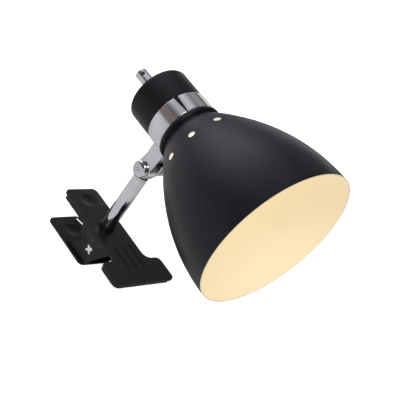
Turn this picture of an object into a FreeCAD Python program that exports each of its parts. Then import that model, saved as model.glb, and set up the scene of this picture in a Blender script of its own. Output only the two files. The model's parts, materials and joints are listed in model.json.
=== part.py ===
import FreeCAD, Part
import math
import os

# Clip-on reading lamp. Millimetres, +Z up.
#
# Everything is laid out about the arm's foot: the arm stands on the front lever's top face, which is
# the plane Z = 0, the jaws point along +X, and the jaw wings spread along Y. At the end each piece is
# moved so that the origin lies midway between the closed jaws, which is where the lamp grips.

V = FreeCAD.Vector
EX = V(1, 0, 0)
EY = V(0, 1, 0)
EZ = V(0, 0, 1)

# ---- driving dimensions: the clip ------------------------------------------------------------------
HANDLE_END = -43.0          # free end of the front handle
JAW_TIP = 62.0              # free end of both jaws
LEVER_HALF = 17.3           # half width of the levers
WING_HALF = 33.0            # half width of the T-shaped jaws
WING_START = 37.5
REAR_JAW_INSET = 1.2        # the rear jaw is this much smaller than the front one
WING_CORNER_R = 5.0
ARMPIT_R = 7.0
HANDLE_CORNER_R = 4.5
PLATE = 2.0                 # thickness of the lever plates
JAW_GRIP_X = 52.0           # where the pads grip
PAD = 0.55                  # thickness of the jaw pads
MEET_Z = -2.6               # plane in which the closed pads meet
PIVOT_X = 11.0
PIVOT_Z = -14.8
PIN_R = 2.5
CHEEK_R = 8.6               # front cheek's round end at the pin
CHEEK_T = 2.4
REAR_PLATE_TOP = -31.0
REAR_HANDLE_END = -41.0
REAR_PLATE_FRONT = 12.0
REAR_CHEEK_OUT = 14.6
REAR_CHEEK_IN = 12.4
DISH_R = 8.0                # thumb dishes
DISH_DEPTH = 1.1
WIRE_R = 0.8                # spring wire
COIL_R = 5.4
COIL_PITCH = 2.4
COIL_TURNS = 8
LEG_Y = 10.6                # the spring's legs lie this far each side of the middle

# ---- driving dimensions: the arm and its tilt joint ---------------------------------------------------
TUBE_R = 6.0
TUBE_WALL = 1.0
TUBE_TOP = 55.0
STUD_R = 4.0
SOCKET_R = 7.2
SOCKET_H = 3.0
TILT_Z = 64.0               # tilt axis, along Y above the arm
EYE_R = 8.0
EYE_HALF = 4.0
BOLT_R = 2.5
FIT = 0.05                  # radial running clearance
LEAF_IN = 4.8               # inner and outer faces of the bracket's two leaves
LEAF_OUT = 6.3
LEAF_END_R = 7.0
BRACKET_X = (-4.5, 8.5)
BOLT_HEAD_R = 7.2
KNOB_R = 5.8
KNOB_END = 19.0
KNOB_GROOVES = 16

# ---- driving dimensions: the head, whose axis lies along X above the tilt axis ------------------------
HEAD_Z = 114.3
MOUTH_X = 125.4             # plane of the shade's mouth; depths in the head are counted back from here
MOUTH_R = 65.0
NECK_R = 26.5
SHADE_LEN = 106.4
SHADE_POWER = 2.12          # how sharply the bell's curve turns in towards the neck
SHADE_T = 1.0
SHADE_HOLE_R = 15.2
VENT_COUNT = 11
VENT_DEPTH = 88.0
VENT_R = 2.7
VENT_PHASE = 150.2          # angle of the first vent, from +Y towards +Z
COLLAR_END = 113.6
BAND_END = 129.75
BAND_R = 25.8
BAND_IN_R = 25.0
BAND_GAP_ANGLE = 131.0
BAND_GAP = (1.1, 3.6)       # width of the band's gap at the collar and at the cup
CUP_END = 157.7
CUP_R = 25.5
CUP_NECK_R = 24.95
CUP_WALL = 1.7
CUP_FILLET = 6.0
GRIP_R = 5.0
GRIP_END = 183.1
CORD_R = 3.3
HOLDER_R = 14.0
NIPPLE_R = 4.0
BULB_R = 22.5
BULB_DEPTH = 72.0

OUT = "parts"
SHIFT = V(-JAW_GRIP_X, 0, -MEET_Z)


# ---- small helpers ------------------------------------------------------------------------------------
def save(node, shape):
    """Move one piece into the part's frame and write it as parts/NODE.step."""
    placed = shape.copy()
    placed.translate(SHIFT)
    for solid in placed.Solids:
        if not solid.isValid():
            raise ValueError("invalid solid in " + node)
    placed.exportStep(os.path.join(OUT, node + ".step"))
    print(node, "solids", len(placed.Solids), "volume %.1f" % placed.Volume)


def rod(radius, start, direction, length):
    return Part.makeCylinder(radius, length, start, direction)


def tube(outer, inner, start, direction, length):
    return rod(outer, start, direction, length).cut(rod(inner, start, direction, length))


def block(x, y, z):
    """A box from (low, high) pairs."""
    return Part.makeBox(x[1] - x[0], y[1] - y[0], z[1] - z[0], V(x[0], y[0], z[0]))


def slab(outline, direction):
    """A flat closed outline of points, made solid along a direction."""
    return Part.Face(Part.makePolygon(outline + [outline[0]])).extrude(direction)


def plate_xz(points, y0, y1):
    """A plate whose outline is given as (x, z) points, between two values of y."""
    return slab([V(x, y0, z) for x, z in points], V(0, y1 - y0, 0))


def hexagon(across_flats, centre, height):
    corner = across_flats / math.sqrt(3)
    points = []
    for i in range(6):
        a = math.radians(60 * i)
        points.append(centre + V(corner * math.cos(a), corner * math.sin(a), 0))
    return slab(points, V(0, 0, height))


def depth_point(depth, radius):
    """A point of a head profile: depth back from the mouth, radius from the head's axis."""
    return V(MOUTH_X - depth, 0, HEAD_Z + radius)


def turned(profile):
    """Turn a closed profile of (depth, radius) points about the head's axis."""
    points = [depth_point(d, r) for d, r in profile]
    face = Part.Face(Part.makePolygon(points + [points[0]]))
    return face.revolve(V(0, 0, HEAD_Z), EX, 360)


def turned_edges(edges):
    face = Part.Face(Part.Wire(Part.__sortEdges__(edges)))
    return face.revolve(V(0, 0, HEAD_Z), EX, 360)


def radial(angle):
    """Unit vector across the head's axis, at an angle from +Y towards +Z."""
    a = math.radians(angle)
    return V(0, math.cos(a), math.sin(a))


def on_axis(depth):
    return V(MOUTH_X - depth, 0, HEAD_Z)


# ---- the clip -----------------------------------------------------------------------------------------
def t_plate(rear_x, lever_half, z, inset):
    """T-shaped lever plate: a straight lever that widens into the jaw, with its corners rounded."""
    wing = WING_HALF - inset
    tip = JAW_TIP - inset
    right = [(rear_x, lever_half), (WING_START, lever_half), (WING_START, wing), (tip, wing)]
    left = [(x, -y) for x, y in reversed(right)]
    plate = slab([V(x, y, z) for x, y in right + left], V(0, 0, PLATE))
    plate = round_upright(plate, lambda x, y: x > rear_x + 1 and abs(y) > lever_half + 1, WING_CORNER_R)
    return round_upright(plate, lambda x, y: abs(x - WING_START) < 0.01 and abs(y) < lever_half + 1, ARMPIT_R)


def round_upright(shape, chosen, radius):
    """Round the upright edges whose (x, y) place is chosen."""
    edges = []
    for edge in shape.Edges:
        a, b = edge.Vertexes[0].Point, edge.Vertexes[-1].Point
        if abs(a.z - b.z) > 0.5 and abs(a.x - b.x) + abs(a.y - b.y) < 0.01 and chosen(a.x, a.y):
            edges.append(edge)
    return shape.makeFillet(radius, edges)


def dish(x, top_z):
    """Ball that presses a shallow round thumb dish into a face that looks up."""
    ball = (DISH_R ** 2 + DISH_DEPTH ** 2) / (2 * DISH_DEPTH)
    return Part.makeSphere(ball, V(x, 0, top_z + ball - DISH_DEPTH))


def pin_hole(radius):
    return rod(radius, V(PIVOT_X, -20, PIVOT_Z), EY, 40)


def front_lever():
    plate = t_plate(HANDLE_END, LEVER_HALF, -PLATE, 0)
    plate = round_upright(plate, lambda x, y: x < HANDLE_END + 1, HANDLE_CORNER_R)
    cheek = [(-9, -1), (-9, -4), (-7.8, -9.5), (-1, -16), (4.5, -20.5), (17, -21), (22, -14), (30, -PLATE),
             (30, -1)]
    body = plate
    for side in (-1, 1):
        y0 = side * LEVER_HALF
        y1 = side * (LEVER_HALF - CHEEK_T)
        body = body.fuse(plate_xz(cheek, y0, y1))
        body = body.fuse(rod(CHEEK_R, V(PIVOT_X, min(y0, y1), PIVOT_Z), EY, CHEEK_T))
        lip = block((HANDLE_END + 5, -9), sorted((y0, side * (LEVER_HALF - 1.6))), (-5, -1))
        body = body.fuse(lip)
    body = body.cut(pin_hole(PIN_R + 0.01))
    body = body.cut(rod(STUD_R + FIT, V(0, 0, -5), EZ, 6))
    body = body.cut(dish(-29.7, 0))
    groove_r = 1.0
    for y in (-8.7, 0.0, 8.7):
        body = body.cut(rod(groove_r, V(23, y, 0.1), EX, 22))
        for x in (23, 45):
            body = body.cut(Part.makeSphere(groove_r, V(x, y, 0.1)))
    return body.removeSplitter()


def rear_lever():
    low = REAR_PLATE_TOP - PLATE
    handle = block((REAR_HANDLE_END, REAR_PLATE_FRONT), (-LEVER_HALF, LEVER_HALF), (low, REAR_PLATE_TOP))
    handle = round_upright(handle, lambda x, y: True, HANDLE_CORNER_R)
    jaw_top = MEET_Z - PAD - 0.05
    jaw = t_plate(24, REAR_CHEEK_OUT, jaw_top - PLATE, REAR_JAW_INSET)
    cheek = [(-14, REAR_PLATE_TOP - 1), (REAR_PLATE_FRONT, REAR_PLATE_TOP - 1), (15.5, -24), (27, jaw_top - PLATE),
             (40, jaw_top - PLATE), (40, jaw_top), (24, jaw_top), (17, -9), (4, -10.5), (1, -16),
             (-14, REAR_PLATE_TOP)]
    body = handle
    for side in (-1, 1):
        y0 = side * REAR_CHEEK_IN
        y1 = side * REAR_CHEEK_OUT
        body = body.fuse(plate_xz(cheek, y0, y1))
        body = body.fuse(rod(7.6, V(PIVOT_X, min(y0, y1), PIVOT_Z), EY, REAR_CHEEK_OUT - REAR_CHEEK_IN))
    body = body.fuse(jaw)
    body = body.cut(pin_hole(PIN_R + FIT))
    body = body.cut(dish(-25.5, REAR_PLATE_TOP))
    return body.removeSplitter()


def jaw_pad(z0, z1):
    """Thin soft pad that covers a jaw's inner face."""
    inset = REAR_JAW_INSET + 0.4
    pad = block((WING_START + 2, JAW_TIP - inset), (-WING_HALF + inset, WING_HALF - inset), (z0, z1))
    return round_upright(pad, lambda x, y: True, WING_CORNER_R - inset)


def pivot_pin():
    """Steel pin whose two ends are upset into four-armed crosses."""
    pin = rod(PIN_R, V(PIVOT_X, -LEVER_HALF - 0.1, PIVOT_Z), EY, 2 * LEVER_HALF + 0.2)
    arm_long = 3.7
    arm_half = 0.95
    centre = V(PIVOT_X, 0, PIVOT_Z)
    for side in (-1, 1):
        y = sorted((side * (LEVER_HALF + 0.02), side * (LEVER_HALF + 0.9)))
        for angle in (45, 135):
            arm = block((PIVOT_X - arm_long, PIVOT_X + arm_long), y, (PIVOT_Z - arm_half, PIVOT_Z + arm_half))
            arm.rotate(centre, EY, angle)
            pin = pin.fuse(arm)
    return pin.removeSplitter()


def leg(start, end):
    """Straight spring wire from one point to another."""
    along = end - start
    return rod(WIRE_R, start, along, along.Length)


def leg_start(y, end_x, end_z, turn_side):
    """Point of the coil's circle where a straight leg to (end_x, end_z) is a tangent, and its angle."""
    dx = end_x - PIVOT_X
    dz = end_z - PIVOT_Z
    reach = math.hypot(dx, dz)
    angle = math.atan2(dz, dx) + turn_side * math.acos(COIL_R / reach)
    return V(PIVOT_X + COIL_R * math.cos(angle), y, PIVOT_Z + COIL_R * math.sin(angle)), angle


def clip_spring():
    """Coil about the pin, with the leg that presses on the front lever."""
    end = V(-30, -LEG_Y, -PLATE - WIRE_R - 0.05)
    start, angle = leg_start(-LEG_Y, end.x, end.z, -1)
    helix = Part.makeHelix(COIL_PITCH, COIL_PITCH * COIL_TURNS, COIL_R)
    section = Part.Wire(Part.makeCircle(WIRE_R, V(COIL_R, 0, 0), EY))
    coil = Part.Wire(helix).makePipeShell([section], True, True)
    # the helix climbs along Z and starts at +X; lay it along Y and turn its start to the leg's tangent point
    coil.rotate(V(0, 0, 0), EX, -90)
    coil.rotate(V(0, 0, 0), EY, -math.degrees(angle))
    coil.translate(V(PIVOT_X, -LEG_Y, PIVOT_Z))
    return coil.fuse(Part.makeSphere(WIRE_R, start)).fuse(leg(start, end))


def spring_moving_leg():
    """Last turn of the spring, with the leg that presses on the rear lever."""
    end = V(-37, LEG_Y, REAR_PLATE_TOP + WIRE_R + 0.05)
    start = leg_start(LEG_Y, end.x, end.z, 1)[0]
    turn = Part.makeTorus(COIL_R, WIRE_R, V(PIVOT_X, LEG_Y, PIVOT_Z), EY)
    back = (start - end).normalize() * 1.5
    return turn.fuse(leg(start + back, end))


def build_clip():
    save("front_lever", front_lever())
    save("rear_lever", rear_lever())
    save("front_jaw_pad", jaw_pad(-PLATE - PAD, -PLATE))
    save("rear_jaw_pad", jaw_pad(MEET_Z - PAD - 0.05, MEET_Z - 0.05))
    save("pivot_pin", pivot_pin())
    sleeve_half = REAR_CHEEK_IN - 0.2
    save("pivot_sleeve", tube(4.2, PIN_R + 0.03, V(PIVOT_X, -sleeve_half, PIVOT_Z), EY, 2 * sleeve_half))
    save("clip_spring", clip_spring())
    save("spring_moving_leg", spring_moving_leg())


# ---- the arm ------------------------------------------------------------------------------------------
def build_arm():
    socket = tube(SOCKET_R, TUBE_R + FIT, V(0, 0, 0), EZ, SOCKET_H)
    rim = [e for e in socket.Edges if abs(e.BoundBox.ZMin - SOCKET_H) < 0.01 and e.BoundBox.XMax > SOCKET_R - 0.1]
    save("base_socket", socket.makeFillet(0.7, rim[:1]))
    save("arm_tube", tube(TUBE_R, TUBE_R - TUBE_WALL, V(0, 0, 0.5), EZ, TUBE_TOP - 0.5))
    plug_r = TUBE_R - TUBE_WALL - 0.02
    stud = rod(plug_r, V(0, 0, 0.5), EZ, 13).fuse(rod(STUD_R, V(0, 0, -9), EZ, 10))
    save("arm_stud", stud.removeSplitter())
    save("swivel_washer", tube(8.3, STUD_R + FIT, V(0, 0, -PLATE - 1.15), EZ, 1.1))
    nut = hexagon(13, V(0, 0, -PLATE - 5.3), 4.1).cut(rod(STUD_R + 0.01, V(0, 0, -9), EZ, 6))
    save("swivel_nut", nut)
    knuckle = rod(plug_r, V(0, 0, TUBE_TOP - 13), EZ, 14)
    knuckle = knuckle.fuse(rod(TUBE_R, V(0, 0, TUBE_TOP), EZ, 1.8))
    eye = rod(EYE_R, V(0, -EYE_HALF, TILT_Z), EY, 2 * EYE_HALF)
    eye = eye.makeFillet(1.2, [e for e in eye.Edges if e.BoundBox.YLength < 0.01])
    neck = rod(EYE_HALF - 0.05, V(0, 0, TUBE_TOP), EZ, 4)
    knuckle = knuckle.fuse(neck).fuse(eye).cut(rod(BOLT_R + FIT, V(0, -9, TILT_Z), EY, 18))
    save("arm_knuckle", knuckle.removeSplitter())
    washers = []
    for side in (-1, 1):
        y = sorted((side * (EYE_HALF + 0.02), side * (LEAF_IN - 0.04)))
        washers.append(tube(6.6, BOLT_R + 0.1, V(0, y[0], TILT_Z), EY, y[1] - y[0]))
    save("tilt_washers", Part.makeCompound(washers))


def build_tilt_joint():
    bolt = rod(BOLT_R, V(0, -LEAF_OUT - 0.5, TILT_Z), EY, LEAF_OUT + 0.5 + 15)
    base = -LEAF_OUT - 0.03
    head = rod(BOLT_HEAD_R, V(0, base, TILT_Z), V(0, -1, 0), 4.2)
    ball_r = 9.5
    dome = Part.makeSphere(ball_r, V(0, base - 4.2 + ball_r, TILT_Z))
    head = head.common(dome)
    slot = block((-8, 8), (base - 5, base - 3.0), (TILT_Z - 0.7, TILT_Z + 0.7))
    slot.rotate(V(0, 0, TILT_Z), EY, 35)
    save("tilt_bolt", bolt.fuse(head).cut(slot).removeSplitter())
    start = LEAF_OUT + 0.03
    knob = rod(KNOB_R, V(0, start, TILT_Z), EY, KNOB_END - start)
    knob = knob.makeChamfer(0.5, [e for e in knob.Edges if e.BoundBox.YLength < 0.01])
    for i in range(KNOB_GROOVES):
        a = 2 * math.pi * i / KNOB_GROOVES
        at = V((KNOB_R + 0.25) * math.cos(a), start + 2, TILT_Z + (KNOB_R + 0.25) * math.sin(a))
        knob = knob.cut(rod(0.55, at, EY, KNOB_END))
    knob = knob.cut(rod(BOLT_R + 0.01, V(0, start - 1, TILT_Z), EY, 15.5 - start + 1))
    save("tilt_knob", knob)


# ---- the head -----------------------------------------------------------------------------------------
def bell_radius(depth):
    """Outer radius of the bell: full at the mouth, drawn in towards the neck by a power curve."""
    return MOUTH_R - (MOUTH_R - NECK_R) * (depth / SHADE_LEN) ** SHADE_POWER


def bell_points(inset, last):
    """Points along the bell's section, from the mouth back to a given depth."""
    steps = 9
    points = []
    for i in range(steps + 1):
        depth = last * i / steps
        points.append((depth, bell_radius(depth) - inset))
    return points


def shade():
    """Bell spun from sheet: its section runs in short straight steps along the bell's curve."""
    flange = SHADE_LEN - SHADE_T
    outer = bell_points(0, SHADE_LEN)
    inner = bell_points(SHADE_T * 1.15, flange)
    bell = turned(outer + [(SHADE_LEN, SHADE_HOLE_R), (flange, SHADE_HOLE_R)] + inner[::-1])
    # the vents are punched square to the bell's slope
    step = 0.5
    slope = (bell_radius(VENT_DEPTH - step) - bell_radius(VENT_DEPTH + step)) / (2 * step)
    for i in range(VENT_COUNT):
        out = radial(VENT_PHASE + 360.0 * i / VENT_COUNT)
        normal = out - EX * slope
        normal.normalize()
        start = on_axis(VENT_DEPTH) + out * bell_radius(VENT_DEPTH) - normal * 4
        bell = bell.cut(rod(VENT_R, start, normal, 8))
    return bell


def collar():
    """Black collar behind the shade: a round bead next to the band, then a groove."""
    points = [depth_point(d, r) for d, r in ((COLLAR_END, 20.6), (COLLAR_END, 25.6), (111.3, 26.8),
                                             (109.0, 25.9), (108.4, 25.0), (107.4, 25.0),
                                             (SHADE_LEN, NECK_R), (SHADE_LEN, 20.6))]
    edges = [Part.makeLine(points[0], points[1]), Part.Arc(points[1], points[2], points[3]).toShape()]
    for i in range(3, len(points)):
        edges.append(Part.makeLine(points[i], points[(i + 1) % len(points)]))
    return turned_edges(edges)


def band():
    """Chrome band round the cup, rolled from strip, whose ends leave a tapering gap."""
    ring = turned([(COLLAR_END + 0.05, BAND_IN_R), (COLLAR_END + 0.05, BAND_R - 0.2), (COLLAR_END + 0.25, BAND_R),
                   (BAND_END - 0.25, BAND_R), (BAND_END - 0.05, BAND_R - 0.2), (BAND_END - 0.05, BAND_IN_R)])
    front = MOUTH_X - COLLAR_END + 0.5
    back = MOUTH_X - BAND_END - 0.5
    low = HEAD_Z + BAND_IN_R - 2
    gap = [V(front, -BAND_GAP[0] / 2, low), V(front, BAND_GAP[0] / 2, low),
           V(back, BAND_GAP[1] / 2, low), V(back, -BAND_GAP[1] / 2, low)]
    wedge = slab(gap, V(0, 0, 6))
    wedge.rotate(V(0, 0, HEAD_Z), EX, BAND_GAP_ANGLE - 90)
    return ring.cut(wedge).cut(bracket_screw_hole(2.1))


def bracket_screw_hole(radius):
    return rod(radius, V(sum(BRACKET_X) / 2, 0, HEAD_Z - BAND_R - 6), EZ, 12)


def cup():
    """Black cup that closes the back of the head, with a rounded rear edge."""
    bend = math.sqrt(0.5) * CUP_FILLET
    inner_end = CUP_END - 2.2
    a = depth_point(CUP_END - CUP_FILLET, CUP_R)
    mid = depth_point(CUP_END - CUP_FILLET + bend, CUP_R - CUP_FILLET + bend)
    b = depth_point(CUP_END, CUP_R - CUP_FILLET)
    hole = NIPPLE_R + 0.1
    chain = [b, depth_point(CUP_END, hole), depth_point(inner_end, hole),
             depth_point(inner_end, CUP_R - CUP_FILLET),
             depth_point(CUP_END - CUP_FILLET, CUP_NECK_R - CUP_WALL),
             depth_point(COLLAR_END, CUP_NECK_R - CUP_WALL), depth_point(COLLAR_END, CUP_NECK_R),
             depth_point(BAND_END, CUP_NECK_R), depth_point(BAND_END, CUP_R), a]
    edges = [Part.Arc(a, mid, b).toShape()]
    for p, q in zip(chain, chain[1:]):
        edges.append(Part.makeLine(p, q))
    return turned_edges(edges).cut(bracket_screw_hole(2.1))


def bracket():
    """Fork of bent strip: two leaves at the tilt joint, and a web that seats against the band."""
    low_x, high_x = BRACKET_X
    side_view = [(-LEAF_END_R, TILT_Z), (LEAF_END_R, TILT_Z), (high_x, TILT_Z + 14), (high_x, 90), (low_x, 90),
                 (low_x, TILT_Z + 14)]
    fork = None
    for side in (-1, 1):
        y = sorted((side * LEAF_IN, side * LEAF_OUT))
        leaf = plate_xz(side_view, y[0], y[1])
        leaf = leaf.fuse(rod(LEAF_END_R, V(0, y[0], TILT_Z), EY, LEAF_OUT - LEAF_IN))
        fork = leaf if fork is None else fork.fuse(leaf)
    fork = fork.fuse(block((low_x, high_x), (-LEAF_OUT, LEAF_OUT), (86.2, 90)))
    fork = fork.cut(rod(BAND_R + 0.02, V(-50, 0, HEAD_Z), EX, 100))
    fork = fork.cut(rod(BOLT_R + 0.01, V(0, -9, TILT_Z), EY, 18))
    return fork.cut(bracket_screw_hole(2.1)).removeSplitter()


def bracket_screw():
    x = sum(BRACKET_X) / 2
    shank = rod(2.0, V(x, 0, 85.5), EZ, 10)
    head = Part.makeCone(2.4, 3.6, 1.9, V(x, 0, 84.25), EZ)
    slot = block((x - 4, x + 4), (-0.4, 0.4), (84, 85))
    return shank.fuse(head).cut(slot).removeSplitter()


def build_head_casing():
    save("shade", shade())
    save("shade_collar", collar())
    save("head_band", band())
    save("head_cup", cup())
    save("head_bracket", bracket())
    save("bracket_screw", bracket_screw())
    nut = hexagon(7, V(sum(BRACKET_X) / 2, 0, 91.6), 2.8).cut(bracket_screw_hole(2.01))
    save("bracket_nut", nut)
    save("shade_ring", turned([(100.9, HOLDER_R + 0.05), (105.35, HOLDER_R + 0.05), (105.35, 21.5),
                               (103.5, 21.5), (100.9, 18.5)]))


def build_lampholder():
    body = turned([(100, 9.5), (104, 9.5), (104, 7.8), (124, 7.8), (124, 6), (143, 6), (143, NIPPLE_R + 0.01),
                   (147, NIPPLE_R + 0.01), (147, HOLDER_R), (108.9, HOLDER_R), (108.9, 20.2), (106.45, 20.2),
                   (106.45, HOLDER_R), (100, HOLDER_R)])
    screws = []
    for side in (-1, 1):
        at = on_axis(147.0) + EY * side * 10
        body = body.cut(rod(1.25, at, EX, 9))
        screw = rod(1.2, at - EX, EX, 9).fuse(rod(2.1, at - EX * 0.05, -EX, 1.4))
        screws.append(screw.removeSplitter())
    save("lampholder_body", body)
    save("terminal_screws", Part.makeCompound(screws))
    save("screw_shell", turned([(104.1, 7.1), (123.9, 7.1), (123.9, 7.75), (104.1, 7.75)]))
    contact = turned([(124.3, 0.0), (125.2, 0.0), (125.2, 4.0), (124.3, 4.0)])
    tab = block((MOUTH_X - 138, MOUTH_X - 124.5), (-1.5, 1.5), (HEAD_Z + 3.2, HEAD_Z + 4.0))
    save("centre_contact", contact.fuse(tab).removeSplitter())
    save("threaded_nipple", tube(NIPPLE_R, 2.7, on_axis(143), -EX, 20))
    nut = slab([on_axis(155.45) + radial(60 * i) * (13 / math.sqrt(3)) for i in range(6)], V(4, 0, 0))
    save("nipple_nut", nut.cut(rod(NIPPLE_R + 0.01, on_axis(160), EX, 12)))
    dome = Part.makeSphere(9.0, on_axis(GRIP_END - 9.0))
    grip = rod(GRIP_R, on_axis(CUP_END), -EX, 12).fuse(rod(GRIP_R, on_axis(165), -EX, 18.1).common(dome))
    grip = grip.cut(rod(NIPPLE_R + 0.01, on_axis(CUP_END - 1), -EX, 7))
    grip = grip.cut(rod(CORD_R, on_axis(CUP_END), -EX, 40))
    side = radial(141)
    grip = grip.cut(rod(1.9, on_axis(177.5), side, 10))
    save("cord_grip", grip.removeSplitter())
    save("grip_screw", rod(1.85, on_axis(177.5) + side * (CORD_R + 0.1), side, 1.0))


def build_bulb():
    save("bulb_cap", turned([(103.5, 0), (103.5, 6.95), (121, 6.95), (122.6, 3.0), (124.2, 2.0), (124.2, 0)]))
    save("bulb_housing", turned([(82, 0), (82, 18.6), (88, 16.8), (96, 11.0), (100, 9.2), (103.45, 9.2),
                                 (103.45, 0)]))
    globe = Part.makeSphere(BULB_R, on_axis(BULB_DEPTH))
    keep = rod(BULB_R + 1, on_axis(81.95), EX, 40)
    save("bulb_globe", globe.common(keep))


os.makedirs(OUT, exist_ok=True)
build_clip()
build_arm()
build_tilt_joint()
build_head_casing()
build_lampholder()
build_bulb()
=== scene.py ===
"""Looks of the clip-on reading lamp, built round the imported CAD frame. Metres, +Z up."""

import json
import logging
import math
from dataclasses import dataclass, field
from enum import Enum

import bmesh
import bpy
import numpy as np
from mathutils import Matrix, Vector

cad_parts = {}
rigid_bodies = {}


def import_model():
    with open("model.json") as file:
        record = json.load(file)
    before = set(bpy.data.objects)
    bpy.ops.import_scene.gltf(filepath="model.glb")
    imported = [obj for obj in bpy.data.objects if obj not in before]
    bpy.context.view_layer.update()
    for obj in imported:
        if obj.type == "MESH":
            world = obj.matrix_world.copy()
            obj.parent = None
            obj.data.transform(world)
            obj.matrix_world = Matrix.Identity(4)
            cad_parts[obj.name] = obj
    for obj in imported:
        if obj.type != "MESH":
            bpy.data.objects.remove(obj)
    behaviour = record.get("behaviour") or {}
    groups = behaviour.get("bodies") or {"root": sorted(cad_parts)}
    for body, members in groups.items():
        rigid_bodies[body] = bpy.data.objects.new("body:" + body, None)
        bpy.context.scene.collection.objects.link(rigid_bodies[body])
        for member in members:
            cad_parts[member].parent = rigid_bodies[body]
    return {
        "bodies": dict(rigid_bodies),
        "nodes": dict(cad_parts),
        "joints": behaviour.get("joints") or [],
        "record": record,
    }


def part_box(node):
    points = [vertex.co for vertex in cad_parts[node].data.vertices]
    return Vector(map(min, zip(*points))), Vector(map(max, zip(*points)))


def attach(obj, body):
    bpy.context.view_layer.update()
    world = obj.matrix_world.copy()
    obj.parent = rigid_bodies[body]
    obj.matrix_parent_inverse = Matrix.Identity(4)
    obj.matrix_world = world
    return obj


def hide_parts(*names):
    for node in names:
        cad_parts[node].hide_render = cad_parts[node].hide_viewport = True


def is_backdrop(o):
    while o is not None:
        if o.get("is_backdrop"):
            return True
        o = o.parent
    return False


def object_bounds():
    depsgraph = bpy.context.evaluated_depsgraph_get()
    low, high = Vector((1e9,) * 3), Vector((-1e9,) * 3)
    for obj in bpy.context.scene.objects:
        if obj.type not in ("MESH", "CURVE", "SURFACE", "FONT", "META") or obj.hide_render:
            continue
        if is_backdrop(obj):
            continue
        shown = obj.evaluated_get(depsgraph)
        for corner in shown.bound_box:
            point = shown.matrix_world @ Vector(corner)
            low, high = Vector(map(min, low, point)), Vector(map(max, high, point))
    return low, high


LOG = logging.getLogger("reading_lamp")
MM = 0.001
TAU = 2 * math.pi
BACK = Vector((-1, 0, 0))               # along the head's axis, from the mouth to the cord grip
UP = Vector((0, 0, 1))
# grey laid on sharp outer edges: worn paint and a painted edge highlight
WORN_AND_HIGHLIGHT_COLOUR = (0.5, 0.5, 0.5)
DUST_COLOUR = (0.42, 0.41, 0.39)
WHITE = (1.0, 1.0, 1.0)
NEW_WELD = 2e-6                         # points of a new mesh nearer than this are one
CAD_WELD = 1e-6                         # the same for a CAD copy
BEVEL_STEPS = 3
BEVEL_ANGLE = math.radians(28)          # edges that bend by more than this are bevelled

Array = np.ndarray
Tree = bpy.types.NodeTree
Socket = bpy.types.NodeSocket
Piece = bpy.types.Object
Rgb = tuple[float, float, float]
Place = tuple[float, float, float]
Value = Socket | float


# ---- shader helpers --------------------------------------
def link(tree: Tree, source: Value | tuple, target: Socket) -> None:
    """Join an output to an input, or set the input to a plain value."""
    if isinstance(source, Socket):
        tree.links.new(source, target)
    else:
        target.default_value = source


def settle(tree: Tree, node: bpy.types.Node, values: dict[str, Value | tuple]) -> None:
    """Link or set several of a node's inputs by name."""
    for label, source in values.items():
        link(tree, source, node.inputs[label])


def math_node(tree: Tree, operation: str, a: Value, b: Value) -> Socket:
    """Add a Math node and return its output."""
    node = tree.nodes.new("ShaderNodeMath")
    node.operation = operation
    link(tree, a, node.inputs[0])
    link(tree, b, node.inputs[1])
    return node.outputs[0]


def plus(tree: Tree, a: Value, b: Value) -> Socket:
    """Sum of two values."""
    return math_node(tree, "ADD", a, b)


def times(tree: Tree, a: Value, b: Value) -> Socket:
    """Product of two values."""
    return math_node(tree, "MULTIPLY", a, b)


def ramp(tree: Tree, value: Socket, low: float, high: float) -> Socket:
    """Map a value from low..high to 0..1, smoothly and clamped."""
    node = tree.nodes.new("ShaderNodeMapRange")
    node.interpolation_type = "SMOOTHSTEP"
    settle(tree, node, {"Value": value, "From Min": low, "From Max": high})
    return node.outputs["Result"]


def noise(tree: Tree, vector: Socket, scale: Value, detail: float = 3.0,
          roughness: float = 0.55) -> Socket:
    """Add a noise texture and return its grey value."""
    node = tree.nodes.new("ShaderNodeTexNoise")
    settle(tree, node, {"Vector": vector, "Scale": scale, "Detail": detail, "Roughness": roughness})
    return node.outputs["Fac"]


def mixed(tree: Tree, share: Socket, under: Socket | Rgb, over: Rgb) -> Socket:
    """Lay one colour over another by a share of 0 to 1."""
    node = tree.nodes.new("ShaderNodeMix")
    node.data_type = "RGBA"
    base = under if isinstance(under, Socket) else (*under, 1.0)
    settle(tree, node, {"Factor": share, "A": base, "B": (*over, 1.0)})
    return node.outputs["Result"]


def new_effect(name: str, knob: str, value: float, result: str) -> tuple[Tree, Socket, Socket, Socket]:
    """Start a shared effect's node group.

    Args:
        name: the group's name.
        knob: the name of the number that sets the effect.
        value: that number's default.
        result: the name of the number that comes out.

    Returns:
        The group, and its sockets for the vector, the knob and the result.
    """
    group = bpy.data.node_groups.new(name, "ShaderNodeTree")
    group.interface.new_socket("Vector", in_out="INPUT", socket_type="NodeSocketVector")
    setting = group.interface.new_socket(knob, in_out="INPUT", socket_type="NodeSocketFloat")
    setting.default_value = value
    group.interface.new_socket(result, in_out="OUTPUT", socket_type="NodeSocketFloat")
    into = group.nodes.new("NodeGroupInput").outputs
    out = group.nodes.new("NodeGroupOutput").inputs
    return group, into["Vector"], into[knob], out[result]


def grain_group() -> Tree:
    """Fine surface grain: a height from two sizes of noise added together."""
    group, vector, scale, height = new_effect("surface_grain", "Scale", 900.0, "Height")
    fine = noise(group, vector, scale, 2.0)
    broad = noise(group, vector, times(group, scale, 0.21), 1.0)
    link(group, plus(group, fine, times(group, broad, 0.6)), height)
    return group


def wear_and_highlight_group() -> Tree:
    """Edge wear and painted edge highlight: strong where the surface bends sharply outwards, broken up by
    noise.
    """
    group, vector, amount, mask = new_effect("edge_wear_and_highlight", "Amount", 0.5, "Mask")
    geometry = group.nodes.new("ShaderNodeNewGeometry")
    edge = ramp(group, geometry.outputs["Pointiness"], 0.515, 0.60)
    broken = ramp(group, noise(group, vector, 160.0, 4.0), 0.35, 0.75)
    link(group, times(group, times(group, edge, broken), amount), mask)
    return group


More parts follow.
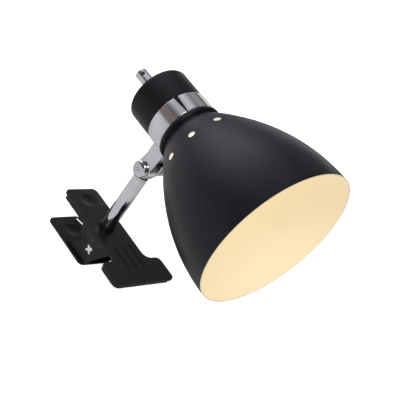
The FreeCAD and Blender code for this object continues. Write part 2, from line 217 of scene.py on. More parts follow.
def smudge_group() -> Tree:
    """Handling marks: slow cloudy patches crossed by fine wiping streaks."""
    group, vector, amount, mask = new_effect("smudges", "Amount", 0.5, "Mask")
    clouds = ramp(group, noise(group, vector, 38.0), 0.42, 0.72)
    stretch = group.nodes.new("ShaderNodeMapping")
    link(group, (60.0, 520.0, 900.0), stretch.inputs["Scale"])
    link(group, vector, stretch.inputs["Vector"])
    streaks = plus(group, noise(group, stretch.outputs["Vector"], 1.0, 2.0), 0.35)
    link(group, times(group, times(group, clouds, streaks), amount), mask)
    return group


def dust_group() -> Tree:
    """Settled dust: on faces that look up, thicker in cloudy patches, with a few specks."""
    group, vector, amount, mask = new_effect("dust", "Amount", 0.1, "Mask")
    geometry = group.nodes.new("ShaderNodeNewGeometry")
    split = group.nodes.new("ShaderNodeSeparateXYZ")
    link(group, geometry.outputs["Normal"], split.inputs[0])
    upward = ramp(group, split.outputs["Z"], 0.1, 1.0)
    patches = noise(group, vector, 70.0, 5.0, 0.7)
    specks = ramp(group, noise(group, vector, 1400.0, 1.0), 0.70, 0.78)
    link(group, times(group, times(group, upward, plus(group, patches, specks)), amount), mask)
    return group


class Effect(Enum):
    """Shared effects, each one node group."""

    GRAIN = "surface_grain"
    WEAR_AND_HIGHLIGHT = "edge_wear_and_highlight"
    SMUDGE = "smudges"
    DUST = "dust"


MAKERS = {
    Effect.GRAIN: grain_group, Effect.WEAR_AND_HIGHLIGHT: wear_and_highlight_group, Effect.SMUDGE: smudge_group, Effect.DUST: dust_group,
}


@dataclass(frozen=True)
class Finish:
    """One finish: a Principled surface whose colour, gloss and relief vary over the piece."""

    name: str
    colour: Rgb
    roughness: float = 0.4
    metallic: float = 0.0
    specular: float = 0.5
    coat: float = 0.0
    coat_roughness: float = 0.15
    grain_scale: float = 900.0
    grain_depth: float = 0.0        # metres of relief
    # strength of the edge wear and painted edge highlight
    wear_and_highlight: float = 0.0
    smudge: float = 0.0
    dust: float = 0.0
    mottle: float = 0.06
    # emission: the bulb's own light, and painted light on the parts that are no lamp
    glow: Rgb = (0.0, 0.0, 0.0)
    glow_strength: float = 0.0

    def effect(self, tree: Tree, kind: Effect, vector: Socket, value: float) -> Socket:
        """Place a shared effect in the material and return its output.

        Args:
            tree: the material's tree.
            kind: which effect.
            vector: the point that the effect's pattern is read at.
            value: the effect's Scale or Amount.

        Returns:
            The effect's only output.
        """
        node = tree.nodes.new("ShaderNodeGroup")
        node.node_tree = bpy.data.node_groups.get(kind.value) or MAKERS[kind]()
        link(tree, vector, node.inputs["Vector"])
        link(tree, value, node.inputs["Scale" if kind is Effect.GRAIN else "Amount"])
        return node.outputs[0]

    def material(self) -> bpy.types.Material:
        """Build the finish's material, or return it if it is already built."""
        found = bpy.data.materials.get(self.name)
        if found:
            return found
        made = bpy.data.materials.new(self.name)
        made.use_nodes = True
        tree = made.node_tree
        shader = tree.nodes["Principled BSDF"]
        vector = tree.nodes.new("ShaderNodeTexCoord").outputs["Object"]
        # colour: a slow mottle between a slightly darker and a slightly lighter shade, then edge wear with a
        # painted edge highlight, and dust
        mottle = ramp(tree, noise(tree, vector, 55.0, 4.0), 0.3, 0.7)
        darker = tuple(c * (1 - self.mottle) for c in self.colour)
        lighter = tuple(min(1.0, c * (1 + self.mottle)) for c in self.colour)
        colour = mixed(tree, mottle, darker, lighter)
        rough = plus(tree, times(tree, mottle, 0.05), self.roughness)
        # lighter sharp edges: edge wear and a painted edge highlight
        if self.wear_and_highlight:
            colour = mixed(tree, self.effect(tree, Effect.WEAR_AND_HIGHLIGHT, vector, self.wear_and_highlight), colour, WORN_AND_HIGHLIGHT_COLOUR)
        if self.smudge:
            rough = plus(tree, rough, self.effect(tree, Effect.SMUDGE, vector, self.smudge))
        if self.dust:
            mask = self.effect(tree, Effect.DUST, vector, self.dust)
            colour = mixed(tree, mask, colour, DUST_COLOUR)
            rough = plus(tree, rough, times(tree, mask, 0.5))
        if self.grain_depth:
            bump = tree.nodes.new("ShaderNodeBump")
            height = self.effect(tree, Effect.GRAIN, vector, self.grain_scale)
            settle(tree, bump, {"Strength": 1.0, "Distance": self.grain_depth, "Height": height})
            link(tree, bump.outputs["Normal"], shader.inputs["Normal"])
        settle(tree, shader, {
            "Base Color": colour, "Roughness": rough, "Metallic": self.metallic,
            "Specular IOR Level": self.specular, "Coat Weight": self.coat,
            "Coat Roughness": self.coat_roughness, "Emission Color": (*self.glow, 1.0),
            "Emission Strength": self.glow_strength})
        return made


# ---- the lamp's finishes ---------------------------------
BLACK_LACQUER = Finish("black_lacquer", (0.0070, 0.0080, 0.0110), 0.36, specular=0.165, coat=0.06,
                       coat_roughness=0.25, grain_scale=1300.0, grain_depth=0.00001, wear_and_highlight=0.03, smudge=0.08,
                       dust=0.003, mottle=0.1)
# the cream inside glows a little: painted light, standing in for the bulb lighting it evenly
CREAM_ENAMEL = Finish("cream_enamel", (0.50, 0.45, 0.36), 0.5, specular=0.2, grain_scale=900.0,
                      grain_depth=0.00002, glow=(1.0, 0.82, 0.51), glow_strength=0.42, mottle=0.02)
CUP_PLASTIC = Finish("cup_plastic", (0.0060, 0.0060, 0.0082), 0.36, specular=0.16, grain_scale=2600.0,
                     grain_depth=0.00001, wear_and_highlight=0.02, smudge=0.08, dust=0.003, mottle=0.08)
CLIP_PLASTIC = Finish("clip_moulding", (0.0050, 0.0050, 0.0062), 0.30, specular=0.26, grain_scale=2200.0,
                      grain_depth=0.000015, wear_and_highlight=0.05, smudge=0.12, dust=0.004, mottle=0.1)
CHROME = Finish("polished_chrome", (0.64, 0.63, 0.645), 0.05, metallic=1.0, smudge=0.10, mottle=0.10)
ZINC = Finish("zinc_plate", (0.62, 0.62, 0.64), 0.26, metallic=1.0, grain_scale=3000.0, grain_depth=0.000004,
              smudge=0.12, mottle=0.06)
BRIGHT_STEEL = Finish("bright_steel", (0.80, 0.80, 0.80), 0.22, metallic=1.0, grain_scale=3000.0,
                      grain_depth=0.000004, mottle=0.05)
DARK_STEEL = Finish("blackened_steel", (0.06, 0.06, 0.065), 0.35, metallic=1.0, mottle=0.1)
BRASS = Finish("stamped_brass", (0.78, 0.60, 0.28), 0.25, metallic=1.0, smudge=0.1)
NICKEL = Finish("nickel_cap", (0.72, 0.70, 0.66), 0.25, metallic=1.0, smudge=0.1)
# the white holder and shade ring glow a little: painted light, as if lit by the bulb
HOLDER_WHITE = Finish("holder_white", (0.80, 0.80, 0.78), 0.4, grain_scale=1800.0, grain_depth=0.00001,
                      glow=(1.0, 1.0, 1.0), glow_strength=0.3)
# light grey vent walls with a faint glow: painted light that makes the vents look bright
VENT_EDGE = Finish("vent_edge_painted_light", (0.72, 0.74, 0.74), 0.35, glow=(1.0, 1.0, 1.0), glow_strength=0.15)
NYLON = Finish("nylon_washer", (0.72, 0.71, 0.66), 0.45, grain_scale=2400.0, grain_depth=0.00001)
PAD_RUBBER = Finish("jaw_pad_rubber", (0.34, 0.34, 0.33), 0.55, grain_scale=1500.0, grain_depth=0.00003)
BULB_SHELL = Finish("bulb_shell", (0.83, 0.82, 0.78), 0.35, grain_scale=1500.0, grain_depth=0.00001)
BULB_OPAL = Finish("opal_globe", (0.95, 0.92, 0.86), 0.4, glow=(1.0, 0.86, 0.62), glow_strength=2.6)


# ---- surfaces worked out as arrays -----------------------
def basis(direction: Vector) -> tuple[Array, Array, Array]:
    """Unit vectors along a direction and two square to it."""
    along = direction.normalized()
    side = along.orthogonal().normalized()
    return np.array(along), np.array(side), np.array(along.cross(side))


def circle(count: int) -> Array:
    """Evenly spaced angles round a full turn."""
    return np.arange(count) * TAU / count


def grid_faces(rows: int, columns: int, wrap_rows: bool, wrap_columns: bool) -> Array:
    """Quads of a grid of points stored row by row.

    Args:
        rows: number of rows of points.
        columns: number of points in a row.
        wrap_rows: whether the last row joins the first.
        wrap_columns: whether a row's last point joins its first.

    Returns:
        An array of quads, four point numbers each.
    """
    r = np.arange(rows if wrap_rows else rows - 1)[:, None]
    c = np.arange(columns if wrap_columns else columns - 1)[None, :]
    r1, c1 = (r + 1) % rows, (c + 1) % columns
    quads = np.stack([r * columns + c, r1 * columns + c, r1 * columns + c1, r * columns + c1], axis=-1)
    return quads.reshape(-1, 4)


def show(thing: Piece) -> None:
    """Add an object to the scene."""
    bpy.context.scene.collection.objects.link(thing)


def mesh_object(name: str, points: Array, faces: list[Array], slots: list[Array] | None = None,
                smooth: float = 35.0) -> Piece:
    """Make an object from arrays, with doubles merged, faces turned outwards and smooth shading.

    Args:
        name: the piece's name.
        points: n x 3 places in the part's frame.
        faces: arrays of quads or triangles.
        slots: material slot numbers, one array for each array of faces.
        smooth: edges that bend by more than this many degrees stay crisp.

    Returns:
        The object, at the origin.
    """
    mesh = bpy.data.meshes.new(name)
    listed = [tuple(int(i) for i in face) for block in faces for face in block]
    mesh.from_pydata([tuple(p) for p in np.asarray(points, float)], [], listed)
    if slots is not None:
        mesh.polygons.foreach_set("material_index", np.concatenate(slots).astype(np.int32))
    work = bmesh.new()
    work.from_mesh(mesh)
    bmesh.ops.remove_doubles(work, verts=work.verts, dist=NEW_WELD)
    bmesh.ops.recalc_face_normals(work, faces=work.faces)
    work.to_mesh(mesh)
    work.free()
    mesh.polygons.foreach_set("use_smooth", np.ones(len(mesh.polygons), bool))
    mesh.set_sharp_from_angle(angle=math.radians(smooth))
    made = bpy.data.objects.new(name, mesh)
    show(made)
    return made


def rounded(profile: list[tuple[float, float]], radii: float | list[float], steps: int = 4,
            closed: bool = True) -> Array:
    """Round the corners of a profile with circular arcs.

    Each corner is replaced by the arc of its radius that touches both sides, or the largest that fits in
    0.45 of the shorter side.

    Args:
        profile: corner points.
        radii: one radius for all corners, or one for each.
        steps: spans in each arc.
        closed: whether the last point joins the first; the ends of an open profile stay.

    Returns:
        The rounded profile's points.
    """
    points = np.array(profile, float)
    count = len(points)
    sizes = [radii] * count if isinstance(radii, (int, float)) else radii
    out: list[Array] = []
    for i, p in enumerate(points):
        if not closed and i in (0, count - 1):
            out.append(p[None])
            continue
        a, b = points[i - 1] - p, points[(i + 1) % count] - p
        la, lb = np.linalg.norm(a), np.linalg.norm(b)
        a, b = a / la, b / lb
        half = 0.5 * math.acos(float(np.clip(a @ b, -1, 1)))
        if sizes[i] <= 0 or half > 1.55 or half < 0.02:
            out.append(p[None])
            continue
        cut = min(sizes[i] / math.tan(half), 0.45 * min(la, lb))
        radius = cut * math.tan(half)
        centre = p + (a + b) / np.linalg.norm(a + b) * radius / math.sin(half)
        start, stop = p + a * cut - centre, p + b * cut - centre
        t = np.linspace(0, 1, steps + 1)[:, None]
        turn = math.pi - 2 * half
        arc = (np.sin((1 - t) * turn) * start + np.sin(t * turn) * stop) / math.sin(turn)
        out.append(centre + arc)
    return np.concatenate(out)


def skin(name: str, points: Array, closed: bool = False, smooth: float = 35.0) -> Piece:
    """Object from rings of points; closed joins the last ring to the first."""
    faces = grid_faces(points.shape[0], points.shape[1], closed, True)
    return mesh_object(name, points.reshape(-1, 3), [faces], smooth=smooth)


def turned(name: str, profile: Array, origin: Vector, direction: Vector, segments: int = 96,
           closed: bool = True) -> Piece:
    """Turn a profile about an axis: a point (h, r) goes to origin + h along + r (cos a side + sin a across).

    Args:
        name: the piece's name.
        profile: (height, radius) points; an open profile starts and ends on the axis.
        origin: where height is 0.
        direction: the axis.
        segments: steps round the axis.
        closed: whether the profile is a ring.

    Returns:
        The turned object.
    """
    along, side, across = basis(direction)
    angle = circle(segments)
    h, r = profile[:, 0][:, None, None], profile[:, 1][:, None, None]
    spoke = np.cos(angle)[None, :, None] * side + np.sin(angle)[None, :, None] * across
    return skin(name, np.array(origin) + h * along + r * spoke, closed)


def dress(piece: Piece, finishes: list[Finish], body: str, nodes: list[str]) -> None:
    """Give a new piece its finishes and its body, and hide the CAD nodes that it stands for."""
    for finish in finishes:
        piece.data.materials.append(finish.material())
    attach(piece, body)
    if nodes:
        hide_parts(*nodes)
    LOG.info("%s on %s: %d faces", piece.name, body, len(piece.data.polygons))


def bevelled_copy(frame: dict, node: str, finish: Finish, body: str, width: float) -> None:
    """Copy a CAD node, weld it, and soften its edges.

    Args:
        node: the CAD node.
        finish: its finish.
        body: the body it rides on.
        width: the bevel's width in metres.
    """
    mesh = frame["nodes"][node].data.copy()
    mesh.name = node + "_soft"
    mesh.materials.clear()
    work = bmesh.new()
    work.from_mesh(mesh)
    bmesh.ops.remove_doubles(work, verts=work.verts, dist=CAD_WELD)
    bmesh.ops.dissolve_limit(work, angle_limit=math.radians(0.6), verts=work.verts, edges=work.edges)
    for edge in work.edges:
        edge.smooth = True
    work.to_mesh(mesh)
    work.free()
    piece = bpy.data.objects.new(node + "_soft", mesh)
    show(piece)
    mesh.polygons.foreach_set("use_smooth", np.ones(len(mesh.polygons), bool))
    bevel = piece.modifiers.new("soften", "BEVEL")
    bevel.width = width
    bevel.segments = BEVEL_STEPS
    bevel.limit_method = "ANGLE"
    bevel.angle_limit = BEVEL_ANGLE
    normals = piece.modifiers.new("normals", "WEIGHTED_NORMAL")
    normals.keep_sharp = True
    dress(piece, [finish], body, [node])


# ---- the shade -------------------------------------------
@dataclass
class HeadAxis:
    """The head's axis: depths are counted back from the mouth along -X."""

    mouth: float
    height: float

    @classmethod
    def from_frame(cls) -> "HeadAxis":
        """Read the axis from the shade's box."""
        low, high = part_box("shade")
        return cls(mouth=high.x, height=0.5 * (low.z + high.z))

    def origin(self) -> Vector:
        """The mouth's centre."""
        return Vector((self.mouth, 0.0, self.height))

    def place(self, depth: Array, radius: Array, angle: Array) -> Array:
        """Points at depths back from the mouth, radii, and angles from +Y towards +Z."""
        depth, radius, angle = np.broadcast_arrays(depth, radius, angle)
        y, z = radius * np.cos(angle), self.height + radius * np.sin(angle)
        return np.stack([self.mouth - depth, y, z], -1)


@dataclass
class Shade:
    """Bell of spun sheet, black outside and cream inside, with a ring of vents near the neck."""

    axis: HeadAxis
    mouth_radius: float = 65.0 * MM
    neck_radius: float = 26.5 * MM
    length: float = 106.4 * MM
    power: float = 2.12
    thickness: float = 1.1 * MM
    hole_radius: float = 15.3 * MM
    vents: int = 11
    vent_depth: float = 88.0 * MM
    vent_radius: float = 2.75 * MM
    vent_phase: float = math.radians(150.2)
    vent_rings: int = 6
    vent_crowding: float = 0.7          # a power below 1 crowds a patch's rings towards its vent
    band_half: float = 5.0 * MM         # the vents' patches reach this far each side of their middle
    sector: int = 20                    # grid steps across one vent's sector
    across: int = 12                    # grid steps along a patch
    front_rows: int = 48
    back_rows: int = 10

    def radius(self, depth: Array) -> Array:
        """Outer radius: the mouth's, less a power curve of the depth that reaches the neck's."""
        share = np.clip(depth / self.length, 0, 1)
        return self.mouth_radius - (self.mouth_radius - self.neck_radius) * share ** self.power

    def surface(self, depth: Array, angle: Array, inset: float) -> Array:
        """Place points on the bell, moved inwards square to its section by inset.

        Args:
            depth: depths back from the mouth.
            angle: angles about the axis, from +Y towards +Z.
            inset: distance inwards.

        Returns:
            Points in the part's frame.
        """
        step = 1e-5
        slope = (self.radius(depth + step) - self.radius(np.maximum(depth - step, 0))) / (2 * step)
        norm = np.sqrt(1 + slope ** 2)
        d = depth + slope * inset / norm
        r = self.radius(depth) - inset / norm
        d = np.where(depth <= 0, depth, d)
        return self.axis.place(d, r, angle)

    def rows(self, depths: Array, inset: float, phase: float) -> Array:
        """Rings of points at given depths."""
        d, a = np.meshgrid(depths, phase + circle(self.vents * self.sector), indexing="ij")
        return self.surface(d, a, inset)

    def patch(self, inset: float, index: int, phase: float) -> tuple[Array, Array, Array]:
        """One vent's patch: rings that turn from the sector's rectangle into the round vent.

        A point on ring t lies at (1 - t) of the rectangle's edge plus t of the circle, both walked the same
        way round, with t eased so that the rings crowd the vent.

        Args:
            inset: distance inwards.
            index: which sector.
            phase: the angle at which the first sector starts.

        Returns:
            Points, quads, and the numbers of the vent's edge points.
        """
        width = TAU / self.vents
        u = np.linspace(-0.5, 0.5, self.sector + 1)
        v = np.linspace(-1, 1, self.across + 1)
        low = np.stack([u[:-1], np.full(self.sector, -1.0)], -1)
        right = np.stack([np.full(self.across, 0.5), v[:-1]], -1)
        high = np.stack([u[::-1][:-1], np.full(self.sector, 1.0)], -1)
        left = np.stack([np.full(self.across, -0.5), v[::-1][:-1]], -1)
        border = np.concatenate([low, right, high, left])
        r_mid = float(self.radius(np.array([self.vent_depth]))[0])
        flat = border * np.array([width * r_mid, self.band_half])
        angle = np.arctan2(flat[:, 1], flat[:, 0])
        slope = float((self.radius(np.array([self.vent_depth + 1e-4])) - r_mid)[0] / 1e-4)
        squash = 1 / math.sqrt(1 + slope * slope)
        circle = self.vent_radius * np.stack([np.cos(angle), np.sin(angle) * squash], -1)
        t = (np.linspace(0, 1, self.vent_rings) ** self.vent_crowding)[:, None, None]
        ring = (1 - t) * flat[None] + t * circle[None]
        depth = self.vent_depth + ring[..., 1]
        centre = phase + (index + 0.5) * width
        points = self.surface(depth, centre + ring[..., 0] / r_mid, inset)
        count = len(border)
        quads = grid_faces(self.vent_rings, count, False, True)
        return points.reshape(-1, 3), quads, (self.vent_rings - 1) * count + np.arange(count)

    def build(self) -> Piece:
        """Build the bell's two skins, the vents' edges, the rolled rim and the neck's flange."""
        width = TAU / self.vents
        phase = self.vent_phase - 0.5 * width
        front = np.linspace(0, 1, self.front_rows) * (self.vent_depth - self.band_half)
        back = self.vent_depth + self.band_half + np.linspace(0, 1, self.back_rows) * (
            self.length - 1.6 * MM - self.vent_depth - self.band_half)
        points: list[Array] = []
        faces: list[Array] = []
        slots: list[Array] = []
        total = 0

        def add(block: Array, quads: Array, slot: int) -> int:
            """Keep a block of points and its quads, and return the number of its first point."""
            nonlocal total
            start = total
            points.append(block.reshape(-1, 3))
            faces.append(quads + start)
            slots.append(np.full(len(quads), slot))
            total += block.reshape(-1, 3).shape[0]
            return start

        columns = self.vents * self.sector
        for inset, slot in ((0.0, 0), (self.thickness, 1)):
            for depths in (front, back):
                block = self.rows(depths, inset, phase)
                add(block, grid_faces(len(depths), columns, False, True), slot)
        for i in range(self.vents):
            outer, quads, edge = self.patch(0.0, i, phase)
            inner, inner_quads, _ = self.patch(self.thickness, i, phase)
            a = add(outer, quads, 0) + edge
            b = add(inner, inner_quads, 1) + edge
            # walls of each vent, in the third finish: light grey with a glow, which is painted light
            faces.append(np.stack([a, np.roll(a, -1), np.roll(b, -1), b], -1))
            slots.append(np.full(len(edge), 2))
        # rim: a flattened half round from the outer skin to the inner one
        turn = np.linspace(0, math.pi, 9)
        outer_r = self.mouth_radius
        inner_point = self.surface(np.array([0.0]), np.array([0.0]), self.thickness)[0]
        inner_r = float(inner_point[1])
        mid, half = 0.5 * (outer_r + inner_r), 0.5 * (outer_r - inner_r)
        rim = np.stack([-0.35 * half * np.sin(turn), mid + half * np.cos(turn)], -1)
        angle = phase + circle(columns)

        def rings(profile: Array) -> Array:
            """Rings of points, one for each (depth, radius) of a profile."""
            return self.axis.place(profile[:, :1], profile[:, 1:], angle)

        add(rings(rim), grid_faces(len(rim), columns, False, True), 1)
        # neck: round the shoulder into the flange, through its hole, and back to the inner skin
        last = back[-1]
        outer_end = self.surface(np.array([last]), np.array([0.0]), 0.0)[0]
        inner_end = self.surface(np.array([last]), np.array([0.0]), self.thickness)[0]
        flange = self.length - self.thickness
        neck = [(self.axis.mouth - outer_end[0], outer_end[1]), (self.length, self.neck_radius),
                (self.length, self.hole_radius), (flange, self.hole_radius),
                (flange, inner_end[1] - 0.5 * MM),
                (self.axis.mouth - inner_end[0], inner_end[1])]
        bend = rounded(neck, [0, 0.8 * MM, 0.2 * MM, 0.2 * MM, 0.4 * MM, 0], 4, closed=False)
        split = int(np.argmin(bend[:, 1]))
        add(rings(bend[:split + 1]), grid_faces(split + 1, columns, False, True), 0)
        add(rings(bend[split:]), grid_faces(len(bend) - split, columns, False, True), 1)
        return mesh_object("shade_bell", np.concatenate(points), faces, slots, smooth=50)

    def make(self) -> None:
        """Build and dress the shade."""
        dress(self.build(), [BLACK_LACQUER, CREAM_ENAMEL, VENT_EDGE], "head", ["shade"])


# ---- the rest of the head --------------------------------
@dataclass
class HeadCasing:
    """Black collar, chrome band and black cup, all turned about the head's axis."""

    axis: HeadAxis
    neck: float = 106.4 * MM
    band_start: float = 113.65 * MM
    band_end: float = 129.7 * MM
    cup_end: float = 157.7 * MM
    cup_radius: float = 25.5 * MM
    cup_wall: float = 2.2 * MM
    lip_height: float = 0.5 * MM
    grip_bore: float = 4.2 * MM
    band_radius: float = 25.8 * MM
    gap_angle: float = math.radians(131.0)
    gap_front: float = 1.1 * MM
    gap_back: float = 3.6 * MM

    def collar(self) -> Piece:
        """Bead and groove between the shade and the band: a half-round bead, then a hollow."""
        turn = np.linspace(0, math.pi, 12)
        bead = np.stack([111.3 + 2.2 * np.cos(turn), 25.3 + 1.45 * np.sin(turn)], -1) * MM
        turn = np.linspace(0, math.pi, 8)
        dip = np.stack([108.0 + np.cos(turn), 25.2 - 0.5 * np.sin(turn)], -1) * MM
        rest = rounded([(106.75 * MM, 25.9 * MM), (self.neck, 26.4 * MM), (self.neck, 20.7 * MM),
                        (self.band_start, 20.7 * MM), (self.band_start, 25.2 * MM)],
                       0.15 * MM, 2, closed=False)
        profile = np.concatenate([bead, dip, rest])
        return turned("collar_bead", profile, self.axis.origin(), BACK, 160)

    def band(self) -> Piece:
        """Rolled chrome strip whose two ends leave a gap that widens towards the cup."""
        low, high, outer, inner = self.band_start, self.band_end, self.band_radius, 25.05 * MM
        outline = rounded([(low, inner), (low, outer), (high, outer), (high, inner)],
                          [0.1 * MM, 0.3 * MM, 0.3 * MM, 0.1 * MM], 5)
        extra = np.linspace(low + 0.6 * MM, high - 0.6 * MM, 14)
        top = np.stack([extra, np.full_like(extra, outer)], -1)
        split = int(np.argmax(outline[:, 0] > 0.5 * (low + high)))
        profile = np.concatenate([outline[:split], top, outline[split:]])
        share = np.clip((profile[:, 0] - low) / (high - low), 0, 1)
        half = 0.5 * (self.gap_front + (self.gap_back - self.gap_front) * share) / self.band_radius
        u = np.linspace(0, 1, 220)[None, :]
        start = (self.gap_angle + half)[:, None]
        stop = (self.gap_angle + TAU - half)[:, None]
        angle = start + (stop - start) * u
        points = self.axis.place(profile[:, :1], profile[:, 1:], angle)
        rows, columns = angle.shape
        faces = grid_faces(rows, columns, True, False)
        first = np.arange(rows) * columns
        middle = points[:, [0, -1]].mean(axis=0)
        caps = []
        for number, column in enumerate((0, columns - 1)):
            hub = rows * columns + number
            caps.append(np.stack([first + column, np.roll(first, -1) + column, np.full(rows, hub)], -1))
        cloud = np.concatenate([points.reshape(-1, 3), middle])
        return mesh_object("band_strip", cloud, [faces, *caps], smooth=40)

    def cup(self) -> Piece:
        """Cup with a round rear edge, a step for the band and a faint moulded lip round the cord grip."""
        end, radius = self.cup_end, self.cup_radius
        inner, dip = end - self.cup_wall, end - self.lip_height
        outer = [(inner, self.grip_bore), (end, self.grip_bore), (end, 9.0 * MM), (dip, 9.6 * MM),
                 (dip, 17.0 * MM), (end, 17.6 * MM), (end, radius), (129.85 * MM, radius),
                 (129.75 * MM, 24.95 * MM), (113.6 * MM, 24.95 * MM), (113.6 * MM, 23.3 * MM),
                 (inner, 23.3 * MM)]
        radii = [0, 0.3, 0.3, 0.3, 0.3, 0.3, 6.0, 0.35, 0.05, 0.2, 0.2, 3.0]
        profile = rounded(outer, [r * MM for r in radii], 8)
        return turned("cup_shell", profile, self.axis.origin(), BACK, 160)

    def make(self, frame: dict) -> None:
        """Build and dress the casing."""
        dress(self.collar(), [CUP_PLASTIC], "head", ["shade_collar"])
        dress(self.band(), [CHROME], "head", ["head_band"])
        dress(self.cup(), [CUP_PLASTIC], "head", ["head_cup"])
        bevelled_copy(frame, "cord_grip", CHROME, "head", 0.25 * MM)


@dataclass
class Bulb:
    """Small round bulb: metal cap, white housing and opal globe."""

    axis: HeadAxis
    radius: float = 22.5 * MM
    centre: float = 72.0 * MM
    housing_front: float = 82.0 * MM
    housing_back: float = 103.4 * MM
    ribs: int = 24
    rib_height: float = 0.3 * MM

    def globe(self) -> Piece:
        """Most of a sphere, from its pole in front to where the housing grips it."""
        turn = np.linspace(0, 0.68 * math.pi, 40)
        arc = np.stack([self.centre - self.radius * np.cos(turn), self.radius * np.sin(turn)], -1)
        profile = np.concatenate([arc, [(arc[-1, 0], 0.0)]])
        return turned("opal_globe", profile, self.axis.origin(), BACK, 72, False)

    def housing(self) -> Piece:
        """Flared housing with cooling ribs.

        Its radius falls along a power curve of the depth and swings by a small cosine round the axis.
        """
        depth = np.linspace(self.housing_front, self.housing_back, 30)
        share = (depth - depth[0]) / (depth[-1] - depth[0])
        radius = (18.3 - 9.2 * share ** 0.8 * (1.15 - 0.15 * share)) * MM
        angle = circle(6 * self.ribs)
        swell = np.sqrt(np.maximum(np.sin(math.pi * share), 0))
        rib = self.rib_height * np.cos(self.ribs * angle)[None, :] * swell[:, None]
        pole = np.zeros((1, len(angle)))
        r = np.concatenate([pole, radius[:, None] + rib, pole])
        d = np.concatenate([depth[:1], depth, depth[-1:]])[:, None]
        return skin("bulb_housing_ribbed", self.axis.place(d, r, angle))

    def make(self) -> None:
        """Build and dress the bulb."""
        dress(self.globe(), [BULB_OPAL], "head", ["bulb_globe"])
        dress(self.housing(), [BULB_SHELL], "head", ["bulb_housing"])


# ---- the arm and its tilt joint --------------------------
@dataclass
class Arm:
    """Chrome tube in its plastic socket, with the tilt joint's bolt and knob at the top."""

    foot: Vector
    top: Vector
    tilt: Vector
    tube_radius: float = 6.0 * MM
    socket_radius: float = 7.2 * MM
    socket_height: float = 3.0 * MM
    knurls: int = 32
    knurl_depth: float = 0.16 * MM
    knurl_inset: float = 1.0 * MM       # the knurls fade out this far from the knob's ends
    bolt_head: float = 7.0 * MM
    shank_radius: float = 2.48 * MM
    shank_length: float = 21.0 * MM
    slot_half: float = 1.0 * MM
    slot_depth: float = 1.5 * MM
    slot_turn: float = math.radians(35)

    @classmethod
    def from_frame(cls) -> "Arm":
        """Read the arm's places from the tube, its socket and the washers."""
        low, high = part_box("arm_tube")
        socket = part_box("base_socket")[0]
        washer_low, washer_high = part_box("tilt_washers")
        middle = 0.5 * (low + high)
        return cls(foot=Vector((middle.x, middle.y, socket.z)), top=Vector((middle.x, middle.y, high.z)),
                   tilt=0.5 * (washer_low + washer_high))

    def tube(self) -> Piece:
        """Round tube with softened ends."""
        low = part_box("arm_tube")[0].z - self.foot.z
        high = self.top.z - self.foot.z
        inner = self.tube_radius - 1.0 * MM
        outer = self.tube_radius
        profile = rounded([(low, inner), (low, outer), (high, outer), (high, inner)], 0.3 * MM)
        return turned("tube_polished", profile, self.foot, UP)

    def socket(self) -> Piece:
        """Socket: a low boss with a rounded shoulder and a thin foot."""
        bore = self.tube_radius + 0.06 * MM
        waist = self.socket_radius - 0.25 * MM
        profile = rounded([(0, bore), (0, self.socket_radius), (0.8 * MM, self.socket_radius),
                           (1.0 * MM, waist), (self.socket_height, waist), (self.socket_height, bore)],
                          [0.1 * MM, 0.1 * MM, 0.15 * MM, 0.15 * MM, 0.6 * MM, 0.2 * MM], 5)
        return turned("base_socket_moulded", profile, self.foot, UP)

    def knob(self) -> Piece:
        """Clamping knob: a cylinder whose radius carries fine straight knurls, with round ends."""
        low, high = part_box("tilt_knob")
        length = high.y - low.y
        radius = 0.5 * (high.x - low.x)
        ends = rounded([(0, 0), (0, radius), (length, radius), (length, 0)], 0.8 * MM, 5, closed=False)
        extra = np.linspace(1.2 * MM, length - 1.2 * MM, 10)
        split = int(np.argmax(ends[:, 0] > 0.5 * length))
        sides = np.stack([extra, np.full_like(extra, radius)], -1)
        profile = np.concatenate([ends[:split], sides, ends[split:]])
        angle = circle(6 * self.knurls)
        reach = np.minimum(profile[:, 0], length - profile[:, 0]) - self.knurl_inset
        inside = np.clip(reach / (0.6 * MM), 0, 1)
        knurl = self.knurl_depth * (np.cos(self.knurls * angle) - 1)[None, :] * inside[:, None]
        r = profile[:, 1:] + knurl
        y = low.y + profile[:, :1] + 0 * r
        points = np.stack([self.tilt.x + r * np.cos(angle), y, self.tilt.z + r * np.sin(angle)], -1)
        return skin("knob_knurled", points, smooth=60)

    def bolt(self) -> Piece:
        """Bolt head and shank: a low dome, pressed in along a slot across its top.

        A point at distance q from the slot's middle line is lowered by the slot's depth where q is under the
        slot's half width, with a short slope each side.
        """
        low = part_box("tilt_bolt")[0]
        base = self.tilt.y - 6.33 * MM
        height = base - low.y - 0.02 * MM
        end, shank = -self.shank_length, self.shank_radius
        rim = rounded([(end, 0), (end, shank), (0, shank), (0, self.bolt_head),
                       (height * 0.42, self.bolt_head)], 0.25 * MM, 3, closed=False)
        turn = np.linspace(0, 1, 26)[1:] * math.pi / 2
        dome = np.stack([height * (0.42 + 0.58 * np.sin(turn)), self.bolt_head * np.cos(turn)], -1)
        profile = np.concatenate([rim, dome])
        angle = circle(160)
        h, r = profile[:, :1] + 0 * angle, profile[:, 1:] + 0 * angle
        x, z = r * np.cos(angle), r * np.sin(angle)
        q = np.abs(x * math.sin(self.slot_turn) - z * math.cos(self.slot_turn))
        pressed = np.clip((self.slot_half - q) / (0.25 * MM), 0, 1)
        floor = height - self.slot_depth
        h = np.where(h > floor, h - (h - floor) * pressed, h)
        points = np.stack([self.tilt.x + x, base - h, self.tilt.z + z], -1)
        return skin("bolt_domed", points, smooth=32)

    def make(self, frame: dict) -> None:
        """Build and dress the arm and the tilt joint."""
        dress(self.tube(), [CHROME], "arm", ["arm_tube"])
        dress(self.socket(), [CLIP_PLASTIC], "clip", ["base_socket"])
        dress(self.knob(), [CHROME], "head", ["tilt_knob"])
        dress(self.bolt(), [CHROME], "head", ["tilt_bolt"])
        bevelled_copy(frame, "arm_knuckle", CHROME, "arm", 0.5 * MM)
        bevelled_copy(frame, "head_bracket", CHROME, "head", 0.35 * MM)


